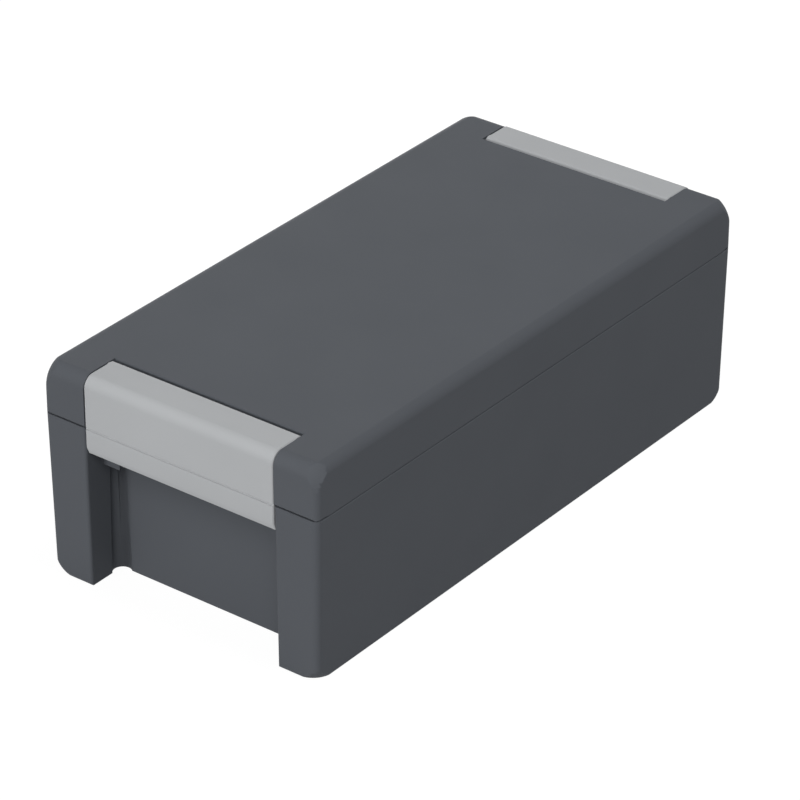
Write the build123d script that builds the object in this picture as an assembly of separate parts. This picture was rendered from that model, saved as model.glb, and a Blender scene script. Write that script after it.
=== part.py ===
from build123d import *
import math
import os

# Small die-cast aluminium enclosure: a deep base and a shallow lid, held at both short ends by a
# moulded swing latch that hooks a steel rod in the base. One latch is let go and the lid turns about
# the other rod. Y runs along the length, X across, Z up, and the origin is bottom centre.

# Overall size
length = 232.0
width = 114.0
base_height = 61.0
lid_height = 18.75
seam_gap = 0.25  # between the rims, which the seal bridges

# Outer form of the castings
base_side_draft = 1.0  # degrees, long sides of the base
base_end_draft = 0.5  # degrees, its short ends
corner_radius = 2.5  # upright corners
lid_ball_radius = 12.8  # balls that round off the upper corners
base_ball_radius = 11.5  # balls that round off the lower corners
lid_end_roll = 5.0  # top edge over the short ends
lid_side_roll = 3.5  # top edge over the long sides
base_foot_chamfer = 0.6  # bottom edge
base_rim_chamfer = 0.4  # along the long sides
lid_rim_chamfer = 0.5  # across the short ends
swing_clearance = 0.08  # lid to base while the lid turns

# Walls
base_wall = 4.2  # at the rim
base_floor = 3.6
cavity_draft = 0.9  # degrees, inside walls
cavity_corner = 4.0
cavity_floor_roll = 2.0
cavity_roll_steps = 3
lid_wall = 5.0
lid_roof = 2.8

# Seal between the rims
groove_width = 2.0
groove_depth = 2.4
groove_inset = 1.9  # from the outer face to the groove
tongue_width = 1.0
tongue_height = 0.6
gasket_thickness = 1.5
gasket_side_clearance = 0.05
gasket_gap = 0.3  # gasket to tongue, before it is squeezed

# Notches in the short ends that take the latches
notch_width = 79.0
notch_depth = 15.8
notch_edge_roll = 1.1  # upright edges of the base notch
notch_top_roll = 0.7  # top edges of the lid notch

# Screw channels in the corners of the base notches, for fixing to a wall
channel_side = 2.1  # channel axis from the side of the notch
channel_back = 2.5  # channel axis from the back of the notch
channel_radius = 3.35  # at the bottom
channel_draft = 0.8  # degrees
wall_screw_hole = 4.8
shelf_under = 44.0  # underside of the screw shelf above the bottom
shelf_thickness = 4.0
shelf_margin = 3.0  # metal round the screw hole

# Cored pockets under the corner pillars
pocket_wall = 3.2
pocket_height = 44.0
pocket_corner = 4.0
pocket_flat = 1.0  # least straight side between two corners of a pocket

# Steel rods
rod_diameter = 2.5
rod_fit = 0.02  # radial, rod in its holes
rod_short_hold = 4.0
rod_long_hold = 9.0
rod_end_play = 0.2
catch_in = 3.1  # catch rod axis inboard of the end face
catch_down = 8.5  # catch rod axis below the base rim
pivot_down = 2.4  # latch pivot below the top of the lid, and radius of the hinge barrel

# Latch covers
latch_side_gap = 0.35
latch_length = 15.05  # top of the latch, front to back
latch_roll = 4.2  # between its top and its front
latch_back_roll = 1.5  # over the hinge barrel
latch_roof = 1.8
latch_wall = 1.5
latch_below_seam = 6.8  # front face below the base rim
latch_lip_drop = 2.7
latch_lip_in = 1.1
latch_edge_chamfer = 0.3
seam_groove = 0.45  # fine line across the latch, level with the seam
web_count = 4
web_thickness = 2.4
hook_depth = 3.2
barrel_clearance = 0.05
seat_clearance = 0.2
hook_toe = 0.3  # hook tip above the rod axis

# Board bosses on the floor and ribs under the lid
boss_diameter = 9.0
boss_height = 8.0
boss_spacing_x = 76.0
boss_spacing_y = 160.0
m4_tap = 3.3
boss_tap_depth = 7.0
rib_thickness = 1.6
rib_height = 2.2
rib_spacing = 42.0

# Earth point on the floor
earth_x = 0.0
earth_y = 62.0
earth_boss_diameter = 12.0
earth_boss_height = 4.0
earth_tap_depth = 5.5
m4_diameter = 4.0
m4_clearance = 0.15
washer_diameter = 9.0
washer_thickness = 0.8
spring_washer_diameter = 7.6
spring_washer_thickness = 0.9
clamp_width = 8.4
clamp_thickness = 1.0
earth_head_diameter = 8.0
earth_head_height = 3.1
earth_head_chamfer = 0.6
earth_slot_width = 1.1
earth_slot_depth = 1.5
earth_screw_reach = 8.0

# Worked out from the sizes above
half_length = length / 2
half_width = width / 2
lid_bottom = base_height + seam_gap
height = lid_bottom + lid_height
notch_half = notch_width / 2
notch_back = half_length - notch_depth
catch_y = half_length - catch_in
catch_z = base_height - catch_down
pivot_y = half_length - latch_length + pivot_down
pivot_z = height - pivot_down
rod_radius = rod_diameter / 2
latch_half = notch_half - latch_side_gap
channel_x = notch_half - channel_side
channel_y = notch_back + channel_back
side_run = base_height * math.tan(math.radians(base_side_draft))
end_run = base_height * math.tan(math.radians(base_end_draft))


def plan(size_x, size_y, radius, z):
    """Rounded rectangle at one level."""
    return Plane.XY.offset(z) * RectangleRounded(size_x, size_y, radius)


def arc_inset(radius, depth):
    """Inset of a rolled edge at a depth below its face."""
    if depth >= radius:
        return 0.0
    return radius - math.sqrt(radius**2 - (radius - depth) ** 2)


def tilt(degrees):
    """Sideways run for one millimetre of height at a draft angle."""
    return math.tan(math.radians(degrees))


def roll_levels(radius, steps):
    """Depths below a face at which a roll of this radius is drawn."""
    return [radius * (1 - math.cos(math.pi / 2 * step / steps)) for step in range(steps + 1)]


def ring(outer_x, outer_y, radius, thickness, z, tall):
    """Closed band of even width that follows a rounded rectangle."""
    outside = extrude(plan(outer_x, outer_y, radius, z), tall)
    inside = extrude(
        plan(outer_x - 2 * thickness, outer_y - 2 * thickness, radius - thickness, z), tall
    )
    return outside - inside


def both_ends(shape):
    """A feature of the rear end together with its mirror image at the front end."""
    return [shape, shape.mirror(Plane.XZ)]


def four_corners(shape):
    """A feature of one corner repeated at all four."""
    pair = [shape, shape.mirror(Plane.YZ)]
    return pair + [each.mirror(Plane.XZ) for each in pair]


def upright(radius, x, y, z, tall):
    """Upright round bar or hole."""
    return Pos(x, y, z + tall / 2) * Cylinder(radius, tall)


def crosswise(radius, x_from, x_to, y, z):
    """Round bar or hole along the width."""
    return Pos((x_from + x_to) / 2, y, z) * Rot(0, 90, 0) * Cylinder(radius, x_to - x_from)


def block(x_from, x_to, y_from, y_to, z_from, z_to):
    """Plain block between two opposite corners."""
    middle = Pos((x_from + x_to) / 2, (y_from + y_to) / 2, (z_from + z_to) / 2)
    return middle * Box(x_to - x_from, y_to - y_from, z_to - z_from)


def side_profile(points):
    """Face in the upright plane along the length, from (y, z) points."""
    return make_face(Polyline([(0, y, z) for y, z in points], close=True))


def across(face, half):
    """Solid with the same profile over the whole width."""
    return extrude(face.moved(Location((-half, 0, 0))), 2 * half, dir=(1, 0, 0))


def rod_holes(y, z):
    """Blind holes for a rod: one deep, so that the rod passes between the pillars, and one short."""
    radius = rod_radius + rod_fit
    far = notch_half + rod_long_hold
    return crosswise(radius, -notch_half - rod_short_hold, far, y, z)


def end_notch(z_from, z_to):
    """Space at the rear end that takes a latch."""
    beyond = half_length + notch_depth
    return block(-notch_half, notch_half, notch_back, beyond, z_from, z_to)


def pillar_pocket(z_from, z_to, face_x, face_y):
    """Core that keeps an even wall inside the outer faces of one corner pillar."""
    x_from = notch_half + pocket_wall
    x_to = face_x - pocket_wall
    y_from = notch_back - base_wall + pocket_wall
    y_to = face_y - pocket_wall
    size_x = x_to - x_from
    size_y = y_to - y_from
    corner = min(pocket_corner, (size_x - pocket_flat) / 2, (size_y - pocket_flat) / 2)
    middle = Pos((x_from + x_to) / 2, (y_from + y_to) / 2, z_from)
    return middle * extrude(RectangleRounded(size_x, size_y, corner), z_to - z_from)


def corner_cuts(radius, edge_roll, half_x, half_y, face_z, direction):
    """What balls take off the four corners of one face; direction is 1 for a top face.

    A ball lies against the crest of the edge roll, so that the edge runs into it without a step.
    """
    inset = edge_roll + (radius - edge_roll) * math.sqrt(0.5)
    middle = Pos(half_x - inset, half_y - inset, face_z - direction * inset)
    corner = Pos(radius, radius, direction * radius) * Box(2 * radius, 2 * radius, 2 * radius)
    return four_corners(middle * (corner - Sphere(radius)))


def roll_cut(radius, tall):
    """Square bar less a quarter round about local Z, which rolls a straight edge."""
    bar = Pos(radius, radius) * Box(2 * radius, 2 * radius, tall)
    return bar - Cylinder(radius, 2 * tall)


def leaning_block(section_plane, half_size, run, reach):
    """Prism as tall as the base, whose two long faces lean in by the run at the foot."""
    section = make_face(Polyline([
        (half_size - run, 0),
        (half_size, base_height),
        (-half_size, base_height),
        (run - half_size, 0),
    ], close=True))
    return extrude(section_plane * section, reach, both=True)


def make_base_outside():
    """Drafted block with rounded uprights, balled lower corners, chamfered foot and long rims."""
    body = leaning_block(Plane.XZ, half_width, side_run, length)
    body &= leaning_block(Plane.YZ, half_length, end_run, length)
    body = fillet(body.edges().group_by(Axis.Z)[1], corner_radius)
    body = chamfer(body.edges().group_by(Axis.Z)[0], base_foot_chamfer)
    rim_side = base_rim_chamfer * math.sqrt(2)
    rim_bar = Rot(0, 45, 0) * Box(rim_side, 2 * length, rim_side)
    for rim in (half_width, -half_width):
        body -= Pos(rim, 0, base_height) * rim_bar
    foot_x = half_width - side_run
    foot_y = half_length - end_run
    for cut in corner_cuts(base_ball_radius, base_foot_chamfer, foot_x, foot_y, 0, -1):
        body -= cut
    return body


def rolled_notch():
    """Cutter for the rear base notch, whose upright edges are rolled and lean with the end face."""
    flare_half = notch_half + notch_edge_roll
    flare = Pos(0, half_length) * Rectangle(2 * flare_half, 2 * notch_edge_roll)
    flare -= Pos(flare_half, half_length - notch_edge_roll) * Circle(notch_edge_roll)
    flare -= Pos(-flare_half, half_length - notch_edge_roll) * Circle(notch_edge_roll)
    beyond = notch_edge_roll
    straight = extrude(Plane.XY.offset(-beyond) * flare, base_height + 2 * beyond)
    rim_line = Axis((0, half_length, base_height), (1, 0, 0))
    return end_notch(-beyond, base_height + beyond) + straight.rotate(rim_line, -base_end_draft)


def make_base_cavity():
    """Inside of the base, drafted, with a rolled floor."""
    depth = base_height - base_floor
    across_way = width - 2 * base_wall
    long_way = 2 * (notch_back - base_wall)
    levels = []
    for rise in roll_levels(cavity_floor_roll, cavity_roll_steps):
        shrink = 2 * ((depth - rise) * tilt(cavity_draft) + arc_inset(cavity_floor_roll, rise))
        level = plan(across_way - shrink, long_way - shrink, cavity_corner, base_floor + rise)
        levels.append(level)
    rim = plan(across_way, long_way, cavity_corner, base_height)
    return loft(levels + [rim], ruled=True)


def make_base_shell():
    """Base casting."""
    body = make_base_outside()
    for notch in both_ends(rolled_notch()):
        body -= notch
    body -= make_base_cavity()

    reach = wall_screw_hole / 2 + shelf_margin
    shelf_top = shelf_under + shelf_thickness
    ledge = block(channel_x - reach, notch_half, notch_back, channel_y + reach, shelf_under, shelf_top)
    for shelf in four_corners(ledge):
        body += shelf
    top_radius = channel_radius - shelf_under * tilt(channel_draft)
    lower = Pos(channel_x, channel_y, shelf_under / 2) * Cone(channel_radius, top_radius, shelf_under)
    head_radius = reach - shelf_margin / 2
    upper = upright(head_radius, channel_x, channel_y, shelf_top, base_height - shelf_top)
    hole = upright(wall_screw_hole / 2, channel_x, channel_y, shelf_under, shelf_thickness)
    for channel in four_corners(lower + upper + hole):
        body -= channel

    pocket = pillar_pocket(0, pocket_height, half_width - side_run, half_length - end_run)
    for core in four_corners(pocket):
        body -= core
    for holes in both_ends(rod_holes(catch_y, catch_z)):
        body -= holes

    tongue_in = groove_inset + (groove_width - tongue_width) / 2
    body += ring(
        width - 2 * tongue_in,
        2 * (notch_back - tongue_in),
        cavity_corner,
        tongue_width,
        base_height,
        tongue_height,
    )

    boss_x = boss_spacing_x / 2
    boss_y = boss_spacing_y / 2
    for boss in four_corners(upright(boss_diameter / 2, boss_x, boss_y, base_floor, boss_height)):
        body += boss
    boss_top = base_floor + boss_height
    tap = upright(m4_tap / 2, boss_x, boss_y, boss_top - boss_tap_depth, boss_tap_depth)
    for hole in four_corners(tap):
        body -= hole

    body += upright(earth_boss_diameter / 2, earth_x, earth_y, base_floor, earth_boss_height)
    earth_top = base_floor + earth_boss_height
    earth_hole = m4_diameter / 2 + rod_fit
    body -= upright(earth_hole, earth_x, earth_y, earth_top - earth_tap_depth, earth_tap_depth)
    return body


def make_lid_outside():
    """Lid block: rolled sides, ends and upright corners, balled upper corners, chamfered ends."""
    end_view = Rectangle(width, lid_height)
    end_view = fillet(end_view.vertices().group_by(Axis.Y)[-1], lid_side_roll)
    body = extrude(Plane.XZ * end_view, half_length, both=True)
    body = Pos(0, 0, lid_bottom + lid_height / 2) * body
    end_roll = Plane.YZ * roll_cut(lid_end_roll, 2 * width)
    end_roll = Pos(0, half_length - lid_end_roll, height - lid_end_roll) * end_roll
    corner_roll = roll_cut(corner_radius, 2 * lid_height)
    corner_roll = Pos(half_width - corner_radius, half_length - corner_radius, lid_bottom) * corner_roll
    balls = corner_cuts(lid_ball_radius, corner_radius, half_width, half_length, height, 1)
    rim_cut = side_profile([
        (half_length - lid_rim_chamfer, lid_bottom),
        (half_length, lid_bottom),
        (half_length, lid_bottom + lid_rim_chamfer),
    ])
    rim_cut = across(rim_cut, half_width)
    turning_radius = math.hypot(catch_in, catch_down) + swing_clearance
    relief = crosswise(turning_radius, -half_width, half_width, catch_y, catch_z)
    ends = both_ends(end_roll) + both_ends(rim_cut) + both_ends(relief)
    for cut in ends + four_corners(corner_roll) + balls:
        body -= cut
    return body


def make_lid_shell():
    """Lid casting."""
    body = make_lid_outside()
    for notch in both_ends(end_notch(base_height, height + notch_top_roll)):
        body -= notch
    brims = [
        edge
        for edge in body.edges().filter_by(Axis.X)
        if abs(abs(edge.center().Y) - notch_back) < 0.01 and edge.center().Z > height - 0.01
    ]
    body = fillet(brims, notch_top_roll)

    ceiling = height - lid_roof
    long_way = 2 * (notch_back - lid_wall)
    across_way = width - 2 * lid_wall
    narrow = 2 * (ceiling - lid_bottom) * tilt(cavity_draft)
    opening = plan(across_way, long_way, cavity_corner, lid_bottom)
    roof = plan(across_way - narrow, long_way - narrow, cavity_corner, ceiling)
    body -= loft([opening, roof])
    pocket = pillar_pocket(lid_bottom, ceiling - lid_roof, half_width, half_length)
    for core in four_corners(pocket):
        body -= core
    body -= ring(
        width - 2 * groove_inset,
        2 * (notch_back - groove_inset),
        cavity_corner,
        groove_width,
        lid_bottom,
        groove_depth,
    )
    for holes in both_ends(rod_holes(pivot_y, pivot_z)):
        body -= holes

    rib_reach = across_way / 2 - narrow / 4
    rib_count = int(long_way / rib_spacing)
    for number in range(rib_count):
        y = (number - (rib_count - 1) / 2) * rib_spacing
        body += block(-rib_reach, rib_reach, y - rib_thickness / 2, y + rib_thickness / 2,
                      ceiling - rib_height, ceiling)
    return body


def make_gasket():
    """Seal cord lying in the groove of the lid."""
    inset = groove_inset + gasket_side_clearance
    bottom = base_height + tongue_height + gasket_gap
    return ring(
        width - 2 * inset,
        2 * (notch_back - inset),
        cavity_corner,
        groove_width - 2 * gasket_side_clearance,
        bottom,
        gasket_thickness,
    )


def make_latch():
    """Rear latch cover: rolled skin, hinge barrel at its back edge and hooked webs inside."""
    back = half_length - latch_length
    front_low = base_height - latch_below_seam
    lip_z = front_low - latch_lip_drop
    wall_in = half_length - latch_wall
    roof_under = height - latch_roof
    skin = side_profile([
        (back, height),
        (half_length, height),
        (half_length, front_low),
        (half_length - latch_lip_in, lip_z),
        (back, lip_z),
    ])
    body = across(skin, latch_half)
    top_front = body.edges().filter_by(Axis.X).sort_by(lambda e: e.center().Y + e.center().Z)[-1]
    body = fillet(top_front, latch_roll)
    top_back = body.edges().filter_by(Axis.X).sort_by(lambda e: e.center().Z - e.center().Y)[-1]
    body = fillet(top_back, latch_back_roll)
    ends = [
        edge
        for edge in body.edges().filter_by(lambda e: abs(abs(e.center().X) - latch_half) < 0.01)
        if edge.center().Z > lip_z + latch_edge_chamfer
    ]
    body = chamfer(ends, latch_edge_chamfer)
    hollow = across(
        side_profile([
            (back - 1, roof_under),
            (wall_in, roof_under),
            (wall_in, lip_z - 1),
            (back - 1, lip_z - 1),
        ]),
        latch_half + 1,
    )
    inner_front = hollow.edges().filter_by(Axis.X).sort_by(lambda e: e.center().Y + e.center().Z)[-1]
    body -= fillet(inner_front, latch_roll - latch_wall)
    body += crosswise(pivot_down, -latch_half, latch_half, pivot_y, pivot_z)

    web = side_profile([
        (wall_in + latch_wall / 2, catch_z + hook_toe),
        (catch_y, catch_z + hook_toe),
        (catch_y, catch_z + rod_radius + seat_clearance),
        (wall_in - hook_depth, catch_z + rod_radius + seat_clearance),
        (pivot_y, roof_under + latch_roof / 2),
        (wall_in - latch_roll, roof_under + latch_roof / 2),
        (wall_in, roof_under - latch_roll),
    ])
    step = (2 * latch_half - web_thickness) / (web_count - 1)
    for number in range(web_count):
        x = -latch_half + web_thickness / 2 + number * step
        body += Pos(x, 0, 0) * across(web, web_thickness / 2)
    body -= crosswise(rod_radius + seat_clearance, -half_width, half_width, catch_y, catch_z)
    body -= crosswise(rod_radius + barrel_clearance, -half_width, half_width, pivot_y, pivot_z)
    seam_z = base_height + seam_gap / 2
    body -= crosswise(seam_groove, -half_width, half_width, half_length, seam_z)
    return body


def make_rod(y, z):
    """Steel rod between the pillars of one end."""
    reach = notch_half + rod_short_hold - rod_end_play
    return crosswise(rod_radius, -reach, reach, y, z)


def make_earth_set():
    """Earth screw with its washers and wire clamp, stacked on the boss."""
    hole = m4_diameter / 2 + m4_clearance
    z = base_floor + earth_boss_height
    washer = upright(washer_diameter / 2, earth_x, earth_y, z, washer_thickness)
    washer -= upright(hole, earth_x, earth_y, z, washer_thickness)
    z += washer_thickness
    clamp = Pos(earth_x, earth_y, z + clamp_thickness / 2) * Box(clamp_width, clamp_width, clamp_thickness)
    clamp -= upright(hole, earth_x, earth_y, z, clamp_thickness)
    z += clamp_thickness
    spring = upright(spring_washer_diameter / 2, earth_x, earth_y, z, spring_washer_thickness)
    spring -= upright(hole, earth_x, earth_y, z, spring_washer_thickness)
    slot = block(hole / 2, spring_washer_diameter, -earth_slot_width / 2, earth_slot_width / 2,
                 0, spring_washer_thickness)
    spring -= Pos(earth_x, earth_y, z) * slot
    z += spring_washer_thickness
    head = upright(earth_head_diameter / 2, earth_x, earth_y, z, earth_head_height)
    head = chamfer(head.edges().group_by(Axis.Z)[-1], earth_head_chamfer)
    groove = block(-earth_head_diameter, earth_head_diameter, -earth_slot_width / 2,
                   earth_slot_width / 2, earth_head_height - earth_slot_depth, earth_head_height)
    head -= Pos(earth_x, earth_y, z) * groove
    shank = upright(m4_diameter / 2, earth_x, earth_y, z - earth_screw_reach, earth_screw_reach)
    return {
        "earth_washer": washer,
        "earth_wire_clamp": clamp,
        "earth_spring_washer": spring,
        "earth_screw": head + shank,
    }


def make_parts():
    """Every piece of the enclosure by its name."""
    rear_latch = make_latch()
    parts = {
        "base_shell": make_base_shell(),
        "lid_shell": make_lid_shell(),
        "lid_gasket": make_gasket(),
        "rear_latch": rear_latch,
        "front_latch": rear_latch.rotate(Axis.Z, 180),
        "rear_hinge_rod": make_rod(catch_y, catch_z),
        "front_catch_rod": make_rod(-catch_y, catch_z),
        "rear_latch_rod": make_rod(pivot_y, pivot_z),
        "front_latch_rod": make_rod(-pivot_y, pivot_z),
    }
    parts.update(make_earth_set())
    return parts


os.makedirs("parts", exist_ok=True)
for name, shape in make_parts().items():
    export_step(shape, f"parts/{name}.step")
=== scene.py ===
"""Looks of a small die-cast aluminium enclosure with a swing latch at each short end.

The two castings and the two latch mouldings are merged, smooth-shaded copies of their CAD nodes. The
seal, the rods and the earth set are surfaces worked out with numpy. Every length is in metres, in the
frame of the CAD part: X across, Y along the length, Z up, with the origin under the middle of the
base. A field whose name ends in mm is in millimetres.
"""

import logging
import math
from dataclasses import dataclass, field
from enum import Enum
from typing import Any

import bmesh
import bpy
import numpy as np
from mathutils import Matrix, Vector


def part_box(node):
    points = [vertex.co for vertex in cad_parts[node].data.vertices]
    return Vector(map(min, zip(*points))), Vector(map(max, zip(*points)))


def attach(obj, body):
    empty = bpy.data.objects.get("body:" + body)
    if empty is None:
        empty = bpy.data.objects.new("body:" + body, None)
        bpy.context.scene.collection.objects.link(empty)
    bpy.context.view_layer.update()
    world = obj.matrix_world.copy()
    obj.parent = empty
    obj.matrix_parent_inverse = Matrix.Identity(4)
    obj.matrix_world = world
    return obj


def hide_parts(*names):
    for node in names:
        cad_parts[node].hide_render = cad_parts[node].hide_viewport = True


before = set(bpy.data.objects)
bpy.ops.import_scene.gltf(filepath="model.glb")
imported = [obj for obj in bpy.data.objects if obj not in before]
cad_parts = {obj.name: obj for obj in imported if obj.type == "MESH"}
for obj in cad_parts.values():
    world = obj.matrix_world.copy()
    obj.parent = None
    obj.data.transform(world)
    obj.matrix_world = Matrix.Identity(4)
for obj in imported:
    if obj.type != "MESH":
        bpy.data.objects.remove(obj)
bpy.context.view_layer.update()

MM = 0.001
FULL_TURN = 2 * math.pi
WHITE = (1.0, 1.0, 1.0, 1.0)
MERGE_DISTANCE = 2e-6
SHORTEST_EDGE = 1e-6
# Noise values seldom leave this range, so it is what a drift of gloss is spread over.
NOISE_LOW = 0.3
NOISE_HIGH = 0.7
DRIFT_LAYERS = 2.0
GRAIN_LAYERS = 3.0
LOG = logging.getLogger("enclosure")


class Body(Enum):
    """Rigid bodies of the part, by the names that the CAD gives them."""

    BASE = "base"
    LID = "lid"
    FRONT_LATCH = "front_latch"
    REAR_LATCH = "rear_latch"


class Slot(Enum):
    """Material slots of the record."""

    CASTING = "casting"
    LATCH = "latch_moulding"
    SEAL = "seal"
    ROD = "rod_steel"
    PLATED = "plated_steel"
    BRASS = "brass_screw"


class Turn(Enum):
    """Line about which a profile is turned: the order in which its three coordinates are stacked."""

    ACROSS = (0, 1, 2)
    UPRIGHT = (1, 2, 0)


def linear(code: str) -> tuple[float, float, float, float]:
    """Turns an sRGB hex colour into linear RGBA.

    Args:
        code: colour as "#rrggbb".

    Returns:
        The linear colour with alpha 1.
    """
    parts = np.array([int(code[i : i + 2], 16) for i in (1, 3, 5)]) / 255
    curve = np.where(parts <= 0.04045, parts / 12.92, ((parts + 0.055) / 1.055) ** 2.4)
    return (float(curve[0]), float(curve[1]), float(curve[2]), 1.0)


def grey(level: float) -> tuple[float, float, float, float]:
    """Linear grey of one level, opaque."""
    return (level, level, level, 1.0)


def add_node(tree: Any, kind: str, links: dict[Any, Any] | None = None, **settings: Any) -> Any:
    """Adds a node, sets it and links its inputs.

    Args:
        tree: node tree to add to.
        kind: Blender's node type name.
        links: input name or number to an output socket, or to a constant value.
        settings: attributes of the node itself.

    Returns:
        The new node.
    """
    node = tree.nodes.new(kind)
    for name, value in settings.items():
        setattr(node, name, value)
    for name, value in (links or {}).items():
        socket = node.inputs[name]
        if isinstance(value, bpy.types.NodeSocket):
            tree.links.new(value, socket)
        else:
            socket.default_value = value
    return node


def new_material(name: str) -> tuple[Any, Any, Any]:
    """Makes an empty node material.

    Args:
        name: name of the material.

    Returns:
        The material, its node tree and its output node.
    """
    material = bpy.data.materials.new(name)
    material.use_nodes = True
    tree = material.node_tree
    tree.nodes.clear()
    return material, tree, add_node(tree, "ShaderNodeOutputMaterial")


@dataclass(frozen=True)
class Finish:
    """A surface finish: colour with a faint drift, and a fine relief that breaks up the gloss."""

    name: str
    colour: str
    shade: str
    roughness: float
    metallic: float = 0.0
    specular: float = 0.5
    grain_mm: float = 0.5
    relief_mm: float = 0.01
    drift_mm: float = 25.0
    gloss_drift: float = 0.04
    stretch: tuple[float, float, float] = (1.0, 1.0, 1.0)

    def build(self) -> Any:
        """Builds the node material on Object coordinates.

        Returns:
            The material.
        """
        material, tree, output = new_material(self.name)
        place = add_node(tree, "ShaderNodeTexCoord").outputs["Object"]
        place = add_node(tree, "ShaderNodeMapping", {"Vector": place, "Scale": self.stretch}).outputs[0]
        drift = self.noise(tree, place, self.drift_mm, DRIFT_LAYERS)
        grain = self.noise(tree, place, self.grain_mm, GRAIN_LAYERS)
        # A colour mix takes its two colours in sockets 6 and 7 and gives its result in socket 2.
        colours = {0: drift, 6: linear(self.colour), 7: linear(self.shade)}
        tone = add_node(tree, "ShaderNodeMix", colours, data_type="RGBA").outputs[2]
        gloss = {
            "Value": drift,
            "From Min": NOISE_LOW,
            "From Max": NOISE_HIGH,
            "To Min": self.roughness - self.gloss_drift,
            "To Max": self.roughness + self.gloss_drift,
        }
        rough = add_node(tree, "ShaderNodeMapRange", gloss).outputs[0]
        relief = {"Height": grain, "Distance": self.relief_mm * MM}
        inputs = {
            "Base Color": tone,
            "Roughness": rough,
            "Metallic": self.metallic,
            "Specular IOR Level": self.specular,
            "Normal": add_node(tree, "ShaderNodeBump", relief).outputs[0],
        }
        shader = add_node(tree, "ShaderNodeBsdfPrincipled", inputs)
        tree.links.new(shader.outputs[0], output.inputs["Surface"])
        return material

    def noise(self, tree: Any, place: Any, grain_mm: float, layers: float) -> Any:
        """Noise whose grains are about grain_mm wide.

        Args:
            tree: node tree to add to.
            place: socket with the coordinates.
            grain_mm: size of a grain.
            layers: number of finer layers.

        Returns:
            The socket of the noise, from 0 to 1.
        """
        settings = {"Vector": place, "Scale": 1 / (grain_mm * MM), "Detail": layers}
        return add_node(tree, "ShaderNodeTexNoise", settings).outputs[0]


# Matt powder coat on die-cast aluminium: an opaque slate-grey skin with a faint orange peel and next
# to no gloss. A real peel of 0.3 mm is drawn at 0.7 mm, so that it shows. The specular level is far
# below a real coat's 0.5: it was fitted to the photograph under white surroundings.
POWDER_COAT = Finish(
    "powder_coated_diecast_aluminium",
    "#56595e",
    "#54575c",
    0.6,
    specular=0.05,
    grain_mm=0.7,
    relief_mm=0.006,
    gloss_drift=0.015,
)
# Bare die-cast aluminium inside the case: dull, cloudy metal with flow marks of a centimetre or so.
BARE_CASTING = Finish(
    "bare_diecast_aluminium",
    "#a4a7a9",
    "#8f9294",
    0.5,
    metallic=0.85,
    grain_mm=1.2,
    relief_mm=0.012,
    drift_mm=14.0,
)
# Moulded polyamide: light grey, with the fine matt that a spark-eroded tool leaves. Its specular level
# is fitted too, and low for such plastic.
LATCH_PLASTIC = Finish(
    "moulded_polyamide", "#aeb0b2", "#aaacae", 0.55, specular=0.1, grain_mm=0.4, relief_mm=0.004
)
# Foamed silicone cord: soft, near black and matt, with open pores.
SEAL_RUBBER = Finish("foamed_silicone", "#1d1e1f", "#151617", 0.75, grain_mm=0.5, relief_mm=0.03)
# Drawn stainless wire: fine lines along its length, which runs across the case.
DRAWN_STEEL = Finish(
    "drawn_stainless_steel",
    "#b4b3b0",
    "#a6a5a2",
    0.28,
    metallic=1.0,
    grain_mm=0.25,
    relief_mm=0.002,
    stretch=(0.05, 1.0, 1.0),
    drift_mm=8.0,
)
# Zinc-plated pressed steel: bright with a bluish tint.
ZINC_PLATE = Finish(
    "zinc_plated_steel", "#b9bcc0", "#a9adb3", 0.3, metallic=1.0, grain_mm=0.3, relief_mm=0.003, drift_mm=5.0
)
# Turned brass of the earth screw: warm, with a soft gleam.
TURNED_BRASS = Finish(
    "turned_brass", "#c9a660", "#b8944f", 0.25, metallic=1.0, grain_mm=0.2, relief_mm=0.002, drift_mm=6.0
)


@dataclass
class Wardrobe:
    """Materials made so far, so that each finish is built once."""

    made: dict[str, Any] = field(default_factory=dict)

    def material(self, finish: Finish) -> Any:
        """The one material of a finish, made when it is first asked for."""
        if finish.name not in self.made:
            self.made[finish.name] = finish.build()
        return self.made[finish.name]


@dataclass
class Patch:
    """A grid of points that becomes a sheet of quads, closed on itself where it wraps."""

    points: np.ndarray
    wrap_rows: bool = False
    wrap_columns: bool = False

    def faces(self, first: int) -> np.ndarray:
        """Quads that join each point with its neighbours in the next row and column.

        Args:
            first: number of the patch's first vertex in the mesh.

        Returns:
            One row of four vertex numbers for each quad.
        """
        rows, columns = self.points.shape[:2]
        i, j = np.meshgrid(
            np.arange(rows if self.wrap_rows else rows - 1),
            np.arange(columns if self.wrap_columns else columns - 1),
            indexing="ij",
        )
        below = (i + 1) % rows
        right = (j + 1) % columns
        corners = [i * columns + j, below * columns + j, below * columns + right, i * columns + right]
        return np.stack(corners, -1).reshape(-1, 4) + first


def turned(along: np.ndarray, radius: np.ndarray, angles: np.ndarray, axis: Turn) -> np.ndarray:
    """Surface of a profile turned about a line through the origin.

    A profile point at distance t along the line and radius r goes, at angle a, to t along the line and
    r cos a, r sin a across it.

    Args:
        along: place of each profile point along the line, as a column.
        radius: its radius, as a column or one for each angle.
        angles: angles of the turn.
        axis: the line.

    Returns:
        Grid of points, one row for each profile point.
    """
    shape = (len(along), len(angles))
    parts = [np.broadcast_to(along, shape), radius * np.cos(angles), radius * np.sin(angles)]
    return np.stack([parts[k] for k in axis.value], -1)


def full_circle(sides: int) -> np.ndarray:
    """Angles of a whole turn in equal steps, without the last."""
    return np.linspace(0, FULL_TURN, sides, endpoint=False)


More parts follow.
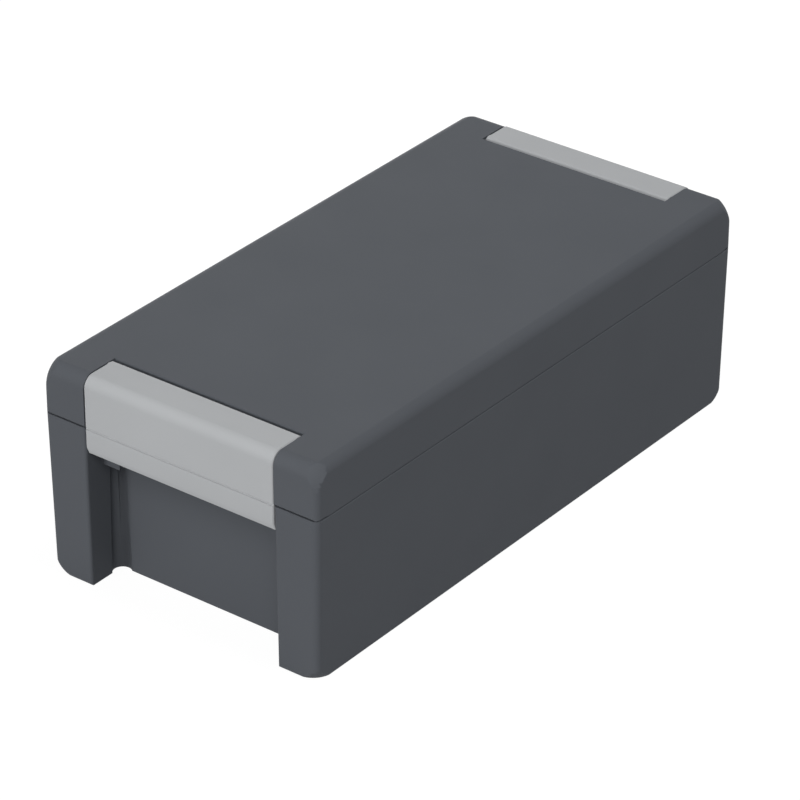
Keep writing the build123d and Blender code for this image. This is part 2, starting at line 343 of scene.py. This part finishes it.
def smooth_between_edges(mesh: Any, turn_out: bool, smooth_deg: float) -> None:
    """Merges doubles, turns faces outwards if asked, and shades smooth between crisp edges.

    Args:
        mesh: mesh to change.
        turn_out: whether normals are worked out again.
        smooth_deg: edges sharper than this stay crisp.
    """
    work = bmesh.new()
    work.from_mesh(mesh)
    bmesh.ops.remove_doubles(work, verts=work.verts, dist=MERGE_DISTANCE)
    bmesh.ops.dissolve_degenerate(work, edges=work.edges, dist=SHORTEST_EDGE)
    if turn_out:
        bmesh.ops.recalc_face_normals(work, faces=work.faces)
    limit = math.radians(smooth_deg)
    for face in work.faces:
        face.smooth = True
    for edge in work.edges:
        edge.smooth = len(edge.link_faces) == 2 and edge.calc_face_angle(0.0) < limit
    work.to_mesh(mesh)
    work.free()


@dataclass
class Piece:
    """A visible piece: what it stands for, what it moves with and what it is made of."""

    node: str
    body: Body
    slot: Slot
    finish: Finish
    smooth_deg: float = 32.0

    def stand_in(self, obj: Any) -> Any:
        """Lets an object stand for the CAD node, on its body.

        Args:
            obj: the object.

        Returns:
            The same object.
        """
        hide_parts(self.node)
        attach(obj, self.body.value)
        return obj

    def from_patches(self, suffix: str, patches: list[Patch], place: Any, wardrobe: Wardrobe) -> Any:
        """Makes the piece from grids of points.

        Args:
            suffix: word that follows the node's name in the piece's name.
            patches: grids about the origin.
            place: where that origin goes.
            wardrobe: materials made so far.

        Returns:
            The new object.
        """
        counts = np.cumsum([0] + [patch.points[..., 0].size for patch in patches])
        points = np.concatenate([patch.points.reshape(-1, 3) for patch in patches]) + np.array(place)
        faces = np.concatenate([patch.faces(int(first)) for patch, first in zip(patches, counts)])
        mesh = bpy.data.meshes.new(f"{self.node}_{suffix}")
        mesh.from_pydata(points.tolist(), [], faces.tolist())
        mesh.materials.append(wardrobe.material(self.finish))
        smooth_between_edges(mesh, True, self.smooth_deg)
        obj = bpy.data.objects.new(mesh.name, mesh)
        bpy.context.scene.collection.objects.link(obj)
        return self.stand_in(obj)


@dataclass
class NodeSkin(Piece):
    """Merged, smooth-shaded copy of a CAD node, whose inside may have a finish of its own."""

    inner_finish: Finish | None = None
    inner_low_mm: tuple[float, float, float] = (0.0, 0.0, 0.0)
    inner_high_mm: tuple[float, float, float] = (0.0, 0.0, 0.0)
    flat_face_weight: int = 100

    def build(self, wardrobe: Wardrobe) -> list[Any]:
        """Copies, merges and dresses the node's mesh.

        Args:
            wardrobe: materials made so far.

        Returns:
            The new object, as a list of one.
        """
        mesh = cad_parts[self.node].data.copy()
        mesh.name = f"{self.node}_skin"
        mesh.materials.clear()
        mesh.materials.append(wardrobe.material(self.finish))
        obj = bpy.data.objects.new(mesh.name, mesh)
        bpy.context.scene.collection.objects.link(obj)
        if mesh.has_custom_normals:
            with bpy.context.temp_override(object=obj, active_object=obj, selected_objects=[obj]):
                bpy.ops.mesh.customdata_custom_splitnormals_clear()
        smooth_between_edges(mesh, False, self.smooth_deg)
        if self.inner_finish is not None:
            mesh.materials.append(wardrobe.material(self.inner_finish))
            mesh.polygons.foreach_set("material_index", self.inner_faces(mesh))
        self.keep_flats_flat(obj)
        return [self.stand_in(obj)]

    def inner_faces(self, mesh: Any) -> np.ndarray:
        """Numbers the faces whose middle lies in the bare inner space.

        Args:
            mesh: the merged mesh.

        Returns:
            Material number of each face: 1 inside, 0 elsewhere.
        """
        middle = np.empty(len(mesh.polygons) * 3)
        mesh.polygons.foreach_get("center", middle)
        middle = middle.reshape(-1, 3) / MM
        inside = np.all((middle > self.inner_low_mm) & (middle < self.inner_high_mm), axis=1)
        return inside.astype(np.int32)

    def keep_flats_flat(self, obj: Any) -> None:
        """Lets the large flat faces set the shading, so that they stay flat beside rolled edges."""
        weighted = obj.modifiers.new("flat_faces_first", "WEIGHTED_NORMAL")
        weighted.mode = "FACE_AREA"
        weighted.weight = self.flat_face_weight
        weighted.keep_sharp = True


@dataclass
class Castings:
    """Base and lid castings: powder-coated outside, bare inside."""

    base_inner_low_mm: tuple[float, float, float] = (-53.2, -97.0, 3.4)
    base_inner_high_mm: tuple[float, float, float] = (53.2, 97.0, 60.9)
    lid_inner_low_mm: tuple[float, float, float] = (-52.5, -96.0, 61.3)
    lid_inner_high_mm: tuple[float, float, float] = (52.5, 96.0, 77.4)

    def build(self, wardrobe: Wardrobe) -> list[Any]:
        """Dresses both castings."""
        boxes = {
            ("base_shell", Body.BASE): (self.base_inner_low_mm, self.base_inner_high_mm),
            ("lid_shell", Body.LID): (self.lid_inner_low_mm, self.lid_inner_high_mm),
        }
        made = []
        for (node, body), (low, high) in boxes.items():
            casting = NodeSkin(node, body, Slot.CASTING, POWDER_COAT)
            casting.inner_finish = BARE_CASTING
            casting.inner_low_mm = low
            casting.inner_high_mm = high
            made += casting.build(wardrobe)
        return made


@dataclass
class Latches:
    """Swing covers moulded in one piece with their hinge barrel and hooks."""

    nodes: dict[str, Body] = field(
        default_factory=lambda: {"front_latch": Body.FRONT_LATCH, "rear_latch": Body.REAR_LATCH}
    )

    def build(self, wardrobe: Wardrobe) -> list[Any]:
        """Dresses both latches."""
        made = []
        for node, body in self.nodes.items():
            made += NodeSkin(node, body, Slot.LATCH, LATCH_PLASTIC).build(wardrobe)
        return made


@dataclass
class SealCord:
    """Foamed cord in the groove of the lid.

    Its middle line is a rounded rectangle. Its section is a superellipse: at angle s, half its width
    times the power of cos s, and half its height times the same power of sin s.
    """

    width_mm: float = 1.9
    outer_corner_mm: float = 4.0
    squareness: float = 3.0
    corner_steps: int = 9
    sides: int = 20

    def build(self, wardrobe: Wardrobe) -> list[Any]:
        """Sweeps the section round the groove.

        Args:
            wardrobe: materials made so far.

        Returns:
            The cord, as a list of one.
        """
        low, high = (np.array(corner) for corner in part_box("lid_gasket"))
        half_x, half_y, half_z = (high - low) / 2
        half_width = self.width_mm * MM / 2
        corner = self.outer_corner_mm * MM - half_width
        quarter = np.linspace(0, FULL_TURN / 4, self.corner_steps)
        around = (np.arange(4)[:, None] * FULL_TURN / 4 + quarter).reshape(-1)
        side_x = np.repeat([1, -1, -1, 1], self.corner_steps)
        side_y = np.repeat([1, 1, -1, -1], self.corner_steps)
        section = full_circle(self.sides)
        power = 2 / self.squareness
        across = half_width * np.sign(np.cos(section)) * np.abs(np.cos(section)) ** power
        rise = half_z * np.sign(np.sin(section)) * np.abs(np.sin(section)) ** power
        reach = corner + across[None, :]
        centre_x = side_x * (half_x - half_width - corner)
        centre_y = side_y * (half_y - half_width - corner)
        x = centre_x[:, None] + np.cos(around)[:, None] * reach
        y = centre_y[:, None] + np.sin(around)[:, None] * reach
        z = np.broadcast_to(rise, x.shape)
        cord = Patch(np.stack([x, y, z], -1), True, True)
        piece = Piece("lid_gasket", Body.LID, Slot.SEAL, SEAL_RUBBER)
        return [piece.from_patches("cord", [cord], (low + high) / 2, wardrobe)]


@dataclass
class Rods:
    """Drawn steel rods on which the latches swing and which they hook."""

    chamfer_mm: float = 0.3
    sides: int = 48
    rods: dict[str, Body] = field(
        default_factory=lambda: {
            "rear_hinge_rod": Body.BASE,
            "front_catch_rod": Body.BASE,
            "rear_latch_rod": Body.LID,
            "front_latch_rod": Body.LID,
        }
    )

    def build(self, wardrobe: Wardrobe) -> list[Any]:
        """Turns each rod, with chamfered ends, in the box of its CAD node.

        Args:
            wardrobe: materials made so far.

        Returns:
            The rods.
        """
        made = []
        chamfer = self.chamfer_mm * MM
        for node, body in self.rods.items():
            low, high = (np.array(corner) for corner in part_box(node))
            half = (high - low)[0] / 2
            radius = (high - low)[2] / 2
            along = np.array([-half, -half, chamfer - half, half - chamfer, half, half])[:, None]
            wide = np.array([0, radius - chamfer, radius, radius, radius - chamfer, 0])[:, None]
            rod = Patch(turned(along, wide, full_circle(self.sides), Turn.ACROSS), False, True)
            piece = Piece(node, body, Slot.ROD, DRAWN_STEEL)
            made.append(piece.from_patches("drawn", [rod], (low + high) / 2, wardrobe))
        return made


@dataclass
class EarthSet:
    """Earth screw with its flat washer, wire clamp and spring washer, stacked on its boss."""

    bore_mm: float = 2.15
    edge_mm: float = 0.15
    clamp_squareness: float = 9.0
    spring_gap_mm: float = 1.1
    spring_rise_mm: float = 0.12
    head_height_mm: float = 3.1
    slot_width_mm: float = 1.1
    slot_depth_mm: float = 1.5
    head_dome_mm: float = 0.5
    head_dome_power: int = 4
    thread_radius_mm: float = 2.0
    thread_pitch_mm: float = 0.7
    thread_depth_mm: float = 0.43
    sides: int = 56
    rows_per_pitch: int = 8
    slot_columns: int = 24

    def ring(self, outer: np.ndarray, height: float, angles: np.ndarray) -> np.ndarray:
        """Ring round the Z axis whose edges are broken by a small chamfer.

        Args:
            outer: outer radius at each angle.
            height: thickness.
            angles: angles of the turn.

        Returns:
            Grid of points, one row for each corner of the section.
        """
        edge = self.edge_mm * MM
        bore = np.full(outer.shape, self.bore_mm * MM)
        low = -height / 2
        levels = [low, low, low + edge, -low - edge, -low, -low, -low - edge, low + edge]
        wide = [bore + edge, outer - edge, outer, outer, outer - edge, bore + edge, bore, bore]
        return turned(np.array(levels)[:, None], np.array(wide), angles, Turn.UPRIGHT)

    def washers(self, wardrobe: Wardrobe) -> list[Any]:
        """Flat washer, and a square wire clamp with rounded corners.

        The clamp's rim is a superellipse: its radius is half its side divided by the root of the sum
        of the powers of |cos a| and |sin a|.

        Args:
            wardrobe: materials made so far.

        Returns:
            The two pieces.
        """
        angles = full_circle(self.sides)
        n = self.clamp_squareness
        square = (np.abs(np.cos(angles)) ** n + np.abs(np.sin(angles)) ** n) ** (-1 / n)
        made = []
        for node, outline in (("earth_washer", np.ones(self.sides)), ("earth_wire_clamp", square)):
            low, high = (np.array(corner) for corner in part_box(node))
            size = high - low
            ring = Patch(self.ring(outline * size[0] / 2, size[2], angles), True, True)
            piece = Piece(node, Body.BASE, Slot.PLATED, ZINC_PLATE)
            made.append(piece.from_patches("pressed", [ring], (low + high) / 2, wardrobe))
        return made

    def spring_washer(self, wardrobe: Wardrobe) -> Any:
        """Split ring that climbs evenly from one side of its gap to the other.

        Args:
            wardrobe: materials made so far.

        Returns:
            The washer.
        """
        low, high = (np.array(corner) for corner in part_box("earth_spring_washer"))
        size = high - low
        radius = size[0] / 2
        rise = self.spring_rise_mm * MM
        half_gap = self.spring_gap_mm * MM / (2 * radius)
        angles = np.linspace(half_gap, FULL_TURN - half_gap, self.sides)
        section = self.ring(np.full(self.sides, radius), size[2] - rise, angles)
        section[..., 2] += rise * (np.linspace(0, 1, self.sides) - 0.5)
        first, last = (np.broadcast_to(section[:, k].mean(axis=0), section[:, :1].shape) for k in (0, -1))
        coil = Patch(np.concatenate([first, section, last], axis=1), True, False)
        piece = Piece("earth_spring_washer", Body.BASE, Slot.PLATED, ZINC_PLATE)
        return piece.from_patches("split", [coil], (low + high) / 2, wardrobe)

    def slotted_head(self, radius: float) -> np.ndarray:
        """Cheese head with a straight slot along X, its underside at height 0.

        The top is cut in rows across the slot. A row at y runs from the underside's middle out to the
        rim, up, over the top and down again, where the rim is at plus and minus the root of
        radius squared less y squared. The top falls towards the rim by a high power of the distance
        from the middle.

        Args:
            radius: radius of the head.

        Returns:
            Grid of points, closed on itself.
        """
        half_slot = self.slot_width_mm * MM / 2
        shoulder = np.sin(np.linspace(math.asin(half_slot / radius), FULL_TURN / 4, self.slot_columns))
        outer = shoulder * radius
        y = np.concatenate([-outer[::-1], [-half_slot, half_slot], outer])
        depth = np.zeros(len(y))
        depth[len(outer) : len(outer) + 2] = self.slot_depth_mm * MM
        rim = np.sqrt(np.maximum(radius**2 - y**2, 0))
        u = np.sin(np.linspace(-FULL_TURN / 4, FULL_TURN / 4, self.slot_columns))
        x = rim[:, None] * u
        fall = self.head_dome_mm * MM * ((x**2 + y[:, None] ** 2) / radius**2) ** self.head_dome_power
        top = self.head_height_mm * MM - np.maximum(fall, depth[:, None])
        under = np.zeros((len(y), 1))
        x = np.concatenate([under, -rim[:, None], x, rim[:, None], under], axis=1)
        z = np.concatenate([under, under, top, under, under], axis=1)
        return np.stack([x, np.broadcast_to(y[:, None], x.shape), z], -1)

    def thread(self, length: float) -> np.ndarray:
        """Threaded shank that hangs below height 0.

        Its radius falls and rises as a triangle wave of the height divided by the pitch less the share
        of the turn, which makes one helix, and it narrows over the last pitch.

        Args:
            length: length of the shank.

        Returns:
            Grid of points with a closed row at each end.
        """
        pitch = self.thread_pitch_mm * MM
        rows = int(length / pitch * self.rows_per_pitch)
        z = np.linspace(-length, 0, rows)[:, None]
        angles = full_circle(self.sides)
        wave = np.abs((z / pitch - angles / FULL_TURN) % 1 - 0.5) * 2
        tip = np.clip((z + length) / pitch, 0, 1)
        deep = np.maximum(wave, 1 - tip)
        radius = (self.thread_radius_mm - self.thread_depth_mm * deep) * MM
        pole = np.zeros((1, self.sides))
        heights = np.concatenate([z[:1], z, z[-1:]])
        return turned(heights, np.concatenate([pole, radius, pole]), angles, Turn.UPRIGHT)

    def screw(self, wardrobe: Wardrobe) -> Any:
        """Slotted screw: head and threaded shank.

        Args:
            wardrobe: materials made so far.

        Returns:
            The screw.
        """
        low, high = (np.array(corner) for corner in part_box("earth_screw"))
        under_head = high[2] - self.head_height_mm * MM
        place = [(low[0] + high[0]) / 2, (low[1] + high[1]) / 2, under_head]
        head = Patch(self.slotted_head((high[0] - low[0]) / 2))
        shank = Patch(self.thread(under_head - low[2]), False, True)
        piece = Piece("earth_screw", Body.BASE, Slot.BRASS, TURNED_BRASS)
        return piece.from_patches("turned", [head, shank], place, wardrobe)

    def build(self, wardrobe: Wardrobe) -> list[Any]:
        """Builds the whole stack."""
        return self.washers(wardrobe) + [self.spring_washer(wardrobe), self.screw(wardrobe)]


@dataclass(frozen=True)
class Lamp:
    """Square soft lamp that looks at the object."""

    name: str
    place: tuple[float, float, float]
    size: float
    watts: float

    def hang(self, target: tuple[float, float, float]) -> None:
        """Hangs the lamp and turns it towards the target."""
        data = bpy.data.lights.new(self.name, "AREA")
        data.shape = "SQUARE"
        data.size = self.size
        data.energy = self.watts
        obj = bpy.data.objects.new(self.name, data)
        bpy.context.scene.collection.objects.link(obj)
        obj.location = self.place
        obj.rotation_euler = (Vector(target) - Vector(self.place)).to_track_quat("-Z", "Y").to_euler()


@dataclass
class Studio:
    """Camera of the photograph, soft lamps, pale floor and white surroundings.

    The lamps' levels, the surroundings and the floor's albedo, which is lower than the floor looks, are
    fitted to the photograph. The back lamp isn't: it is there for views from behind.
    """

    azimuth_deg: float = 37.6
    elevation_deg: float = 29.9
    distance: float = 1.462
    focal_px: float = 4295.0
    image_px: float = 800.0
    sensor_mm: float = 36.0
    nearest: float = 0.05
    farthest: float = 50.0
    target: tuple[float, float, float] = (0.0, 0.0, 0.0400)
    aim_px: tuple[float, float] = (-0.7, 19.8)
    lamps: tuple[Lamp, ...] = (
        Lamp("top", (1.2, 0.6, 3.77), 1.6, 66.0),
        Lamp("front", (1.64, -2.48, 2.68), 1.6, 60.0),
        Lamp("low", (-0.88, -3.85, 0.64), 1.0, 62.0),
        Lamp("back", (-2.8, 2.8, 0.6), 1.0, 25.0),
    )
    surroundings: float = 0.165
    floor_half: float = 6.0
    floor_albedo: float = 0.55
    shadow_albedo: float = 0.12
    floor_glow: float = 0.94

    def camera(self) -> None:
        """Places the camera so that the target stands aim_px right of and above the middle."""
        azimuth = math.radians(self.azimuth_deg)
        elevation = math.radians(self.elevation_deg)
        flat = Vector((math.sin(azimuth), -math.cos(azimuth), 0))
        back = flat * math.cos(elevation) + Vector((0, 0, math.sin(elevation)))
        right = Vector((-back.y, back.x, 0)).normalized()
        up = back.cross(right)
        data = bpy.data.cameras.new("camera")
        data.sensor_width = self.sensor_mm
        data.lens = self.sensor_mm * self.focal_px / self.image_px
        data.clip_start = self.nearest
        data.clip_end = self.farthest
        camera = bpy.data.objects.new("camera", data)
        bpy.context.scene.collection.objects.link(camera)
        target = Vector(self.target)
        camera.location = target + back * self.distance
        shift = self.distance / self.focal_px
        aim = target - (right * self.aim_px[0] + up * self.aim_px[1]) * shift
        camera.rotation_euler = (aim - camera.location).to_track_quat("-Z", "Y").to_euler()
        bpy.context.scene.camera = camera

    def shown(self, tree: Any) -> Any:
        """One for the rays that show the surroundings: camera, glossy and transmission rays.

        Args:
            tree: node tree to add to.

        Returns:
            The socket, 1 for such a ray and 0 for others.
        """
        path = add_node(tree, "ShaderNodeLightPath")
        ray = path.outputs["Is Camera Ray"]
        for name in ("Is Glossy Ray", "Is Transmission Ray"):
            either = {0: ray, 1: path.outputs[name]}
            ray = add_node(tree, "ShaderNodeMath", either, operation="MAXIMUM").outputs[0]
        return ray

    def world(self) -> None:
        """Even light on the object from white surroundings."""
        world = bpy.data.worlds.new("surroundings")
        bpy.context.scene.world = world
        world.use_nodes = True
        tree = world.node_tree
        tree.nodes.clear()
        light = add_node(tree, "ShaderNodeBackground", {"Color": WHITE, "Strength": self.surroundings})
        white = add_node(tree, "ShaderNodeBackground", {"Color": WHITE, "Strength": 1.0})
        choice = {0: self.shown(tree), 1: light.outputs[0], 2: white.outputs[0]}
        both = add_node(tree, "ShaderNodeMixShader", choice)
        add_node(tree, "ShaderNodeOutputWorld", {"Surface": both.outputs[0]})

    def floor(self) -> None:
        """Lays a pale floor that looks white, apart from the object's soft shadow."""
        corners = np.array([[-1, -1, 0], [1, -1, 0], [1, 1, 0], [-1, 1, 0]]) * self.floor_half
        mesh = bpy.data.meshes.new("floor")
        mesh.from_pydata(corners.tolist(), [], [[0, 1, 2, 3]])
        floor = bpy.data.objects.new("floor", mesh)
        bpy.context.scene.collection.objects.link(floor)
        material, tree, output = new_material("pale_floor")
        pale = add_node(tree, "ShaderNodeBsdfDiffuse", {"Color": grey(self.floor_albedo)})
        shadow = add_node(tree, "ShaderNodeBsdfDiffuse", {"Color": grey(self.shadow_albedo)})
        glow = add_node(tree, "ShaderNodeEmission", {"Color": WHITE, "Strength": self.floor_glow})
        white = add_node(tree, "ShaderNodeAddShader", {0: shadow.outputs[0], 1: glow.outputs[0]})
        choice = {0: self.shown(tree), 1: pale.outputs[0], 2: white.outputs[0]}
        both = add_node(tree, "ShaderNodeMixShader", choice)
        tree.links.new(both.outputs[0], output.inputs["Surface"])
        mesh.materials.append(material)

    def build(self) -> None:
        """Sets up everything round the object."""
        self.camera()
        for lamp in self.lamps:
            lamp.hang(self.target)
        self.world()
        self.floor()
        bpy.context.scene.view_settings.view_transform = "Standard"


def main() -> None:
    """Builds the stage and every piece."""
    logging.basicConfig(level=logging.INFO, format="%(name)s: %(message)s")
    Studio().build()
    wardrobe = Wardrobe()
    for group in (Castings(), Latches(), SealCord(), Rods(), EarthSet()):
        for piece in group.build(wardrobe):
            LOG.info("%s: %d faces", piece.name, len(piece.data.polygons))


if __name__ == "__main__":
    main()
